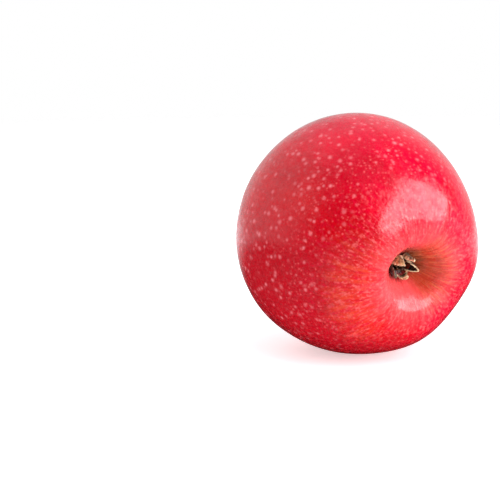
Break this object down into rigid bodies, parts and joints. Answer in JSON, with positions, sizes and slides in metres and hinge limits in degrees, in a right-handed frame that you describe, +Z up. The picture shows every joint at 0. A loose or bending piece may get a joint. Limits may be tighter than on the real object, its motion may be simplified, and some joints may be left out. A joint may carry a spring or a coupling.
{
  "type": "apple",
  "caption": "Ripe red apple lying on its side on a small flat spot, with a stem in its cavity and a dried flower in its calyx basin.",
  "frame": {"origin": "middle of the small flat spot that the apple rests on", "axes": "+Z up; the calyx end faces -Y and points 12.5 degrees down, so the stem end is towards +Y; +X is to the right of a viewer who looks at the calyx"},
  "size_m": [0.0754, 0.0775, 0.0761],
  "materials": {
    "fruit_skin": "smooth waxy skin, pinkish red with pale spots, brown in the calyx basin and yellow in the stem cavity",
    "stem_bark": "dull brown bark with a pale broken end",
    "dry_sepal": "dry, downy and dull, tan to dark brown",
    "dry_thread": "dry and dull, nearly black"
  },
  "bodies": {
    "root": {"fruit": "fruit_skin", "stem": "stem_bark", "sepal_1": "dry_sepal", "sepal_2": "dry_sepal", "sepal_3": "dry_sepal", "sepal_4": "dry_sepal", "sepal_5": "dry_sepal", "stamen_1": "dry_thread", "stamen_2": "dry_thread", "stamen_3": "dry_thread", "stamen_4": "dry_thread", "stamen_5": "dry_thread", "stamen_6": "dry_thread", "stamen_7": "dry_thread", "stamen_8": "dry_thread", "stamen_9": "dry_thread", "stamen_10": "dry_thread", "style_1": "dry_thread", "style_2": "dry_thread", "style_3": "dry_thread", "style_4": "dry_thread", "style_5": "dry_thread"}
  },
  "joints": []
}
